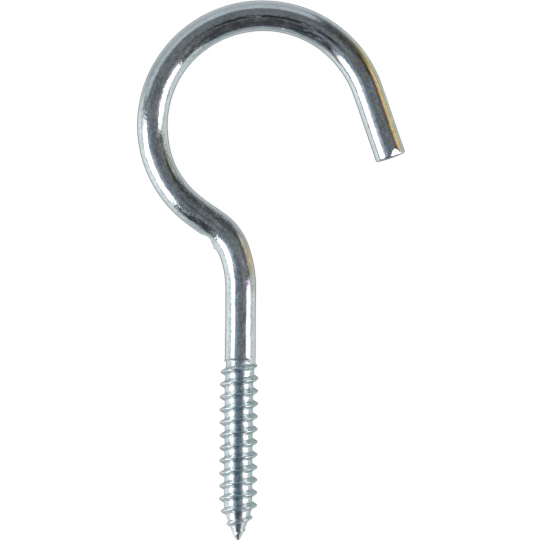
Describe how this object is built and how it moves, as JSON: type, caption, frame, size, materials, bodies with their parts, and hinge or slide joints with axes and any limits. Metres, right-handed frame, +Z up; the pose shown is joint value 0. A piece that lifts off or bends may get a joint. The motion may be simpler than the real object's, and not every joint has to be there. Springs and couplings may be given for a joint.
{
  "type": "screw hook",
  "caption": "Large open ring hook bent from round steel wire, with an offset neck, a plain shank and a wood screw thread with a conical point.",
  "frame": {"origin": "on the screw's axis where the thread meets the plain shank", "axes": "+Y along the screw from its point towards the ring, +X towards the ring's open side, +Z up out of the ring's plane as the hook lies flat"},
  "size_m": [0.0595, 0.12, 0.0082],
  "materials": {
    "zinc_steel": "bright zinc plated steel wire, mottled and faintly iridescent, with tool scratches inside the neck"
  },
  "bodies": {
    "root": {"hook": "zinc_steel"}
  },
  "joints": []
}
